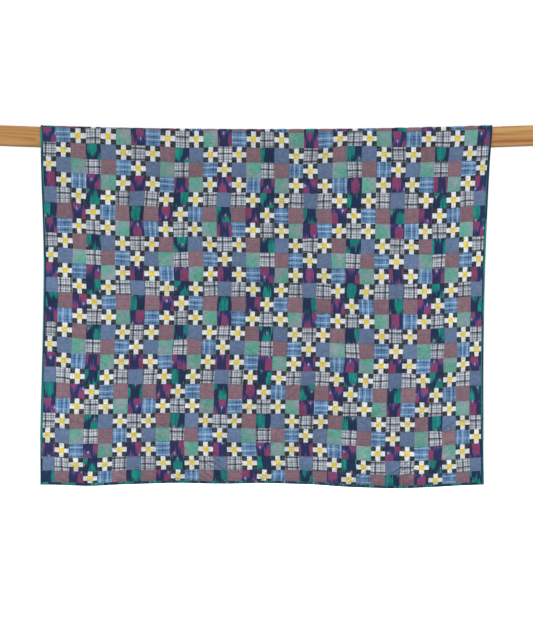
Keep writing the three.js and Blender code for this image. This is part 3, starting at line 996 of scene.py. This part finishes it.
side_cloth = ikat("side_binding_ikat", EMERALD_ON_NAVY, figure=16 * MM, length=900 * MM, eyes=0.8)
hem_cloth = ikat("hem_binding_ikat", EMERALD_ON_NAVY, figure=64 * MM, length=160 * MM, eyes=0.8)
edges = {
    "binding_left": Edge(is_side=True, is_far=False, wider=-0.16, cut_at=(0.1975, 0.095)),
    "binding_right": Edge(is_side=True, is_far=True, wider=-0.08, cut_at=(2.8873, 0.825)),
    "binding_front_hem": Edge(is_side=False, is_far=False, wider=0.05, cut_at=(5.6, 0.012)),
    "binding_back_hem": Edge(is_side=False, is_far=True, wider=0.0, cut_at=(8.3, 0.094)),
}
for node, edge in edges.items():
    strip = binding_strip(f"{node}_strip", edge, side_cloth if edge.is_side else hem_cloth)
    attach(strip, "root")
    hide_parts(node)

# Binding stitches: small slip stitches of dark cotton thread, sewn along the binding's inner edge by hand
# on the face and on the back. Each is a short spindle half sunk in the binding, four millimetres apart.

STITCH_INSET = 10.4 * MM
STITCH_HEIGHT = 2.95 * MM
STITCH_PITCH = 4.2 * MM
STITCH_UNEVEN = 0.2
STITCH_STRAY = 0.25 * MM
STITCH_HALF = np.array([1.3, 0.34, 0.3]) * MM
# A spindle's six points, as shares of its half length, half width and half height, and its eight faces.
SPINDLE = np.array([(-1, 0, 0), (1, 0, 0), (0, -1, 0), (0, 1, 0), (0, 0, -1), (0, 0, 1)])
SPINDLE_FACES = np.array([
    (1, 3, 5), (3, 0, 5), (0, 2, 5), (2, 1, 5), (3, 1, 4), (0, 3, 4), (2, 0, 4), (1, 2, 4),
])


def stitch_row(edge, face):
    """The points of one row of spindles along an edge, each turned along it and standing off the cloth: face
    is 1 for the row in front and -1 for the one behind."""
    step = 0.01
    last = edge.lines[-1]
    from_end = BINDING_WIDTH / edge.pitch
    count = int((last * edge.pitch - 2 * BINDING_WIDTH) / STITCH_PITCH)
    station = np.linspace(from_end, last - from_end, count)
    station = station + chance.uniform(-STITCH_UNEVEN, STITCH_UNEVEN, count) * STITCH_PITCH / edge.pitch
    inset = edge.sewn(STITCH_INSET, station) + chance.uniform(-STITCH_STRAY, STITCH_STRAY, count)
    height = np.full(count, face * STITCH_HEIGHT)
    middle = raised(*edge.place(inset, station), height)
    ahead = unit(raised(*edge.place(inset, station + step), height) - middle)
    above = unit(raised(*edge.place(inset, station), height + face * MM) - middle)
    axes = np.stack([ahead, np.cross(above, ahead), above], axis=1)
    return middle[:, None] + (SPINDLE * STITCH_HALF) @ axes


def stitch_thread():
    """Dark spun thread, a little shiny, with its twist as fine noise."""
    thread = Finish("stitch_thread", roughness=0.6, sheen=0.3)
    twist = thread.noise(thread.place(), scale=900.0)
    thread.give("Base Color", thread.mix(twist, srgb(22, 44, 64), srgb(52, 84, 100)))
    return thread.material


stitch_points = np.concatenate([stitch_row(edge, face) for edge in edges.values() for face in (1, -1)])
stitch_faces = np.arange(len(stitch_points))[:, None, None] * len(SPINDLE) + SPINDLE_FACES
stitches = shown("binding_stitches", meshed("binding_stitches", stitch_points, stitch_faces, smooth=False))
stitches.data.materials.append(stitch_thread())
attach(stitches, "root")

# Studio: a pale floor under the hanging quilt, even light from all round, a soft light on either side, a far
# one high in front, one over the floor behind, one at the back, and a level camera straight in front.

FLOOR_Z = -2.35
FLOOR_CORNERS = np.array([(-9, -9, FLOOR_Z), (9, -9, FLOOR_Z), (9, 9, FLOOR_Z), (-9, 9, FLOOR_Z)])
FLOOR_GLOW = 0.7
ROOM_LIGHT = 0.14
SIDE_LIGHT = 31
HIGH_LIGHT = 2.26
REAR_LIGHT = 260
BACK_LIGHT = 60
PIXEL = 4.45 * MM
IMAGE_HEIGHT = 636
RAIL_PIXEL_ROW = 134.5
CAMERA_AWAY = 5.0

floor = shown("floor", meshed("floor", FLOOR_CORNERS, np.array([[[0, 1, 2, 3]]]), smooth=False))
floor.visible_diffuse = False
paper = Finish("floor_paper", roughness=0.95)
paper.give("Base Color", (0.93, 0.93, 0.93, 1))
paper.give("Emission Color", (1, 1, 1, 1))
paper.give("Emission Strength", FLOOR_GLOW)
floor.data.materials.append(paper.material)

world = bpy.data.worlds.new("studio")
bpy.context.scene.world = world
world.use_nodes = True
nodes = world.node_tree.nodes
links = world.node_tree.links
room = nodes["Background"]
room.inputs["Color"].default_value = (1, 1, 1, 1)
room.inputs["Strength"].default_value = ROOM_LIGHT
backdrop = nodes.new("ShaderNodeBackground")
backdrop.inputs["Color"].default_value = (1, 1, 1, 1)
seen = nodes.new("ShaderNodeMixShader")
links.new(nodes.new("ShaderNodeLightPath").outputs["Is Camera Ray"], seen.inputs[0])
links.new(room.outputs[0], seen.inputs[1])
links.new(backdrop.outputs[0], seen.inputs[2])
links.new(seen.outputs[0], nodes["World Output"].inputs["Surface"])


def soft_light(name, kind, place, aim, spread, power):
    """A light turned to face a point: a square one so wide in metres, or a far one over such an angle."""
    lamp = bpy.data.lights.new(name, kind)
    if kind == "AREA":
        lamp.size = spread
    else:
        lamp.angle = spread
    lamp.energy = power
    holder = shown(name, lamp)
    away = np.subtract(place, aim)
    level = math.hypot(away[0], away[1])
    holder.location = place
    holder.rotation_euler = (math.atan2(level, away[2]), 0.0, math.atan2(away[0], -away[1]))


soft_light("left_light", "AREA", (-2.4, -1.9, -1.35), (0, 0, -0.9), 1.4, SIDE_LIGHT)
soft_light("right_light", "AREA", (2.4, -1.9, -0.85), (0, 0, -0.9), 1.4, SIDE_LIGHT)
soft_light("high_light", "SUN", (0.0, -5.0, 7.2), (0, 0, -0.8), 0.6, HIGH_LIGHT)
soft_light("rear_light", "AREA", (0.0, 3.5, 3.0), (0, 2.5, FLOOR_Z), 4.0, REAR_LIGHT)
soft_light("back_light", "AREA", (-2.6, 2.4, 0.9), (0, 0, -0.8), 1.6, BACK_LIGHT)

lens = bpy.data.cameras.new("camera")
lens.sensor_fit = "VERTICAL"
lens.angle = 2 * math.atan(IMAGE_HEIGHT * PIXEL / 2 / CAMERA_AWAY)
camera = shown("camera", lens)
camera.location = (0, -FALL_Y - CAMERA_AWAY, (RAIL_PIXEL_ROW - IMAGE_HEIGHT / 2) * PIXEL)
camera.rotation_euler = (math.pi / 2, 0, 0)
bpy.context.scene.camera = camera
bpy.context.scene.view_settings.view_transform = "Standard"
